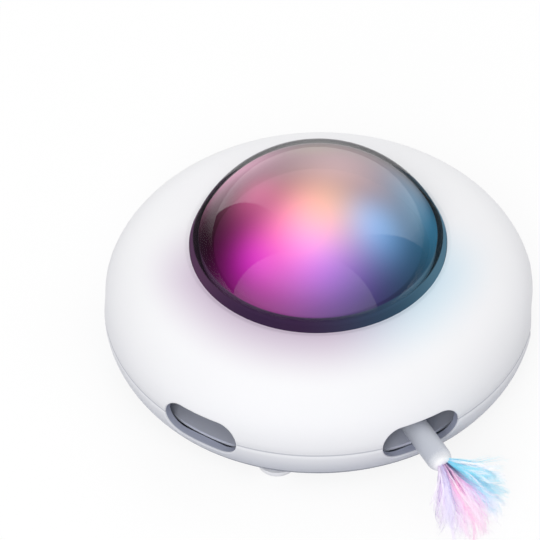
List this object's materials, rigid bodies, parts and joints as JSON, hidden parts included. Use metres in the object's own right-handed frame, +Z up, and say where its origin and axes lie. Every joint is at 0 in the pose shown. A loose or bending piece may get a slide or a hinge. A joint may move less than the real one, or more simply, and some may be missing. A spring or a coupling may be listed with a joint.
{
  "type": "automatic cat feather toy",
  "caption": "Low round cat toy with a lit smoked dome and side slots, where a geared carrier swings a feather wand out of one slot after another.",
  "frame": {"origin": "on the floor plane under the body's axis", "axes": "+Z up along the body's axis, +X along the wand as it stands out of its slot"},
  "size_m": [0.2315, 0.185, 0.0913],
  "materials": {
    "shell_white": "satin gloss moulded plastic",
    "inner_grey": "fine matt moulding",
    "smoked_dome": "polished smoked clear plastic",
    "diffuser": "milky translucent",
    "light": "lit",
    "silicone": "translucent soft silicone",
    "gasket": "matt",
    "steel": "plated",
    "brass": "turned",
    "gear_plastic": "moulded acetal",
    "board_white": "solder mask",
    "board_green": "solder mask",
    "chip_black": "moulded",
    "battery_foil": "foil pouch",
    "foam_tape": "soft foam",
    "lead_red": "insulated wire",
    "lead_blue": "insulated wire",
    "lead_white": "insulated wire",
    "plume": "soft dyed down"
  },
  "bodies": {
    "housing": {"base_shell": "shell_white", "upper_shell": "shell_white", "deck": "inner_grey", "chassis": "inner_grey", "dome_lens": "smoked_dome", "light_diffuser": "diffuser", "lights": "light", "feet": "silicone", "dome_gasket": "gasket", "light_board_screws": "steel", "chassis_screws": "steel", "motor_screws": "steel", "sun_screw": "steel", "deck_screws": "steel", "board_screws": "steel", "shell_screws": "steel", "gear_motor": "steel", "usb_socket": "steel", "sun_gear": "gear_plastic", "light_board": "board_white", "main_board": "board_green", "board_chips": "chip_black", "button_switch": "chip_black", "battery": "battery_foil", "battery_pad": "foam_tape", "battery_lead": "lead_red", "motor_lead": "lead_blue", "light_lead": "lead_white"},
    "carrier": {"carrier": "gear_plastic", "carrier_bush": "brass", "idler_pin": "steel"},
    "idler": {"idler_gear": "gear_plastic"},
    "wand": {"planet_gear": "gear_plastic", "wand_hub": "inner_grey", "wand_screw": "steel", "wand_tube": "shell_white", "feather_plug": "shell_white", "feather": "plume"},
    "pinion": {"drive_pinion": "gear_plastic", "motor_shaft": "steel"},
    "button": {"power_button": "inner_grey"}
  },
  "joints": [
    {"name": "carrier_turn", "type": "hinge", "parent": "housing", "child": "carrier", "pos_m": [0, 0, 0.031], "axis": [0, 0, 1], "continuous": true},
    {"name": "idler_spin", "type": "hinge", "parent": "carrier", "child": "idler", "pos_m": [0.015, 0, 0.0275], "axis": [0, 0, 1], "continuous": true},
    {"name": "wand_swing", "type": "hinge", "parent": "carrier", "child": "wand", "pos_m": [0.0285, 0, 0.0275], "axis": [0, 0, 1], "continuous": true, "deforming": ["feather"]},
    {"name": "pinion_spin", "type": "hinge", "parent": "housing", "child": "pinion", "pos_m": [0, 0.04, 0.031], "axis": [0, 0, 1], "continuous": true},
    {"name": "button_press", "type": "slide", "parent": "housing", "child": "button", "axis": [0.866, -0.5, 0], "range_m": [0, 0.0008], "stiffness_N_per_m": 1200, "springref_m": -0.0006}
  ],
  "couplings": [
    {"joint": "idler_spin", "follows": "carrier_turn", "ratio": 1.5},
    {"joint": "wand_swing", "follows": "carrier_turn", "ratio": -1.2},
    {"joint": "pinion_spin", "follows": "carrier_turn", "ratio": -7}
  ]
}
